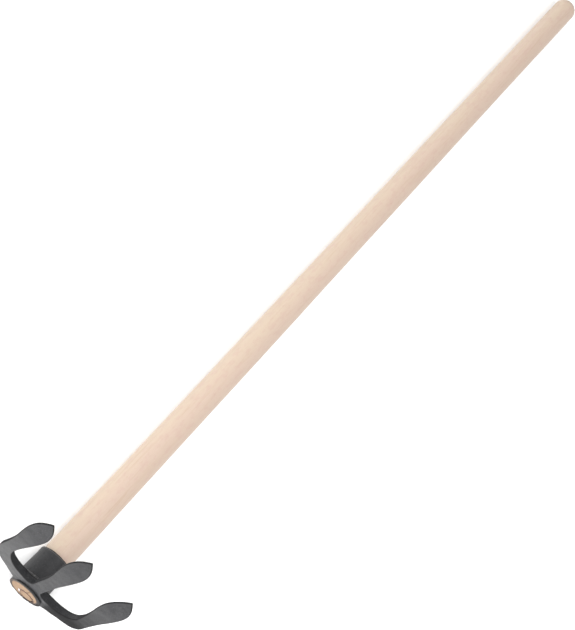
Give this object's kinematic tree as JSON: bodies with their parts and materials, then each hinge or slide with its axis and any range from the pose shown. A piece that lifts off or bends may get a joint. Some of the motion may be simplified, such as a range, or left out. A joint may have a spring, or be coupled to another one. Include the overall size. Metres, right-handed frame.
{
  "type": "hand cultivator",
  "caption": "Long-handled hand cultivator: a forged fork of curled, leaf-shaped tines welded to a conical eye on a tapered wooden handle held by a ring wedge.",
  "frame": {"origin": "centre of the handle's sawn end, in the plane of the eye's bottom rim", "axes": "+X across the tines, +Y up the handle from the eye to the grip, +Z the way the tines reach; the tool lies on its back with its tines up"},
  "size_m": [0.1425, 1.186, 0.1706],
  "materials": {
    "wood": "sanded, bare or thinly oiled",
    "dark_steel": "satin dark grey coating over forged steel",
    "weld_steel": "coated weld bead",
    "wedge_steel": "worn, partly bright"
  },
  "bodies": {
    "root": {"handle": "wood", "eye_socket": "dark_steel", "tine_fork": "dark_steel", "weld_bead_back": "weld_steel", "weld_bead_front": "weld_steel", "ring_wedge": "wedge_steel"}
  },
  "joints": []
}
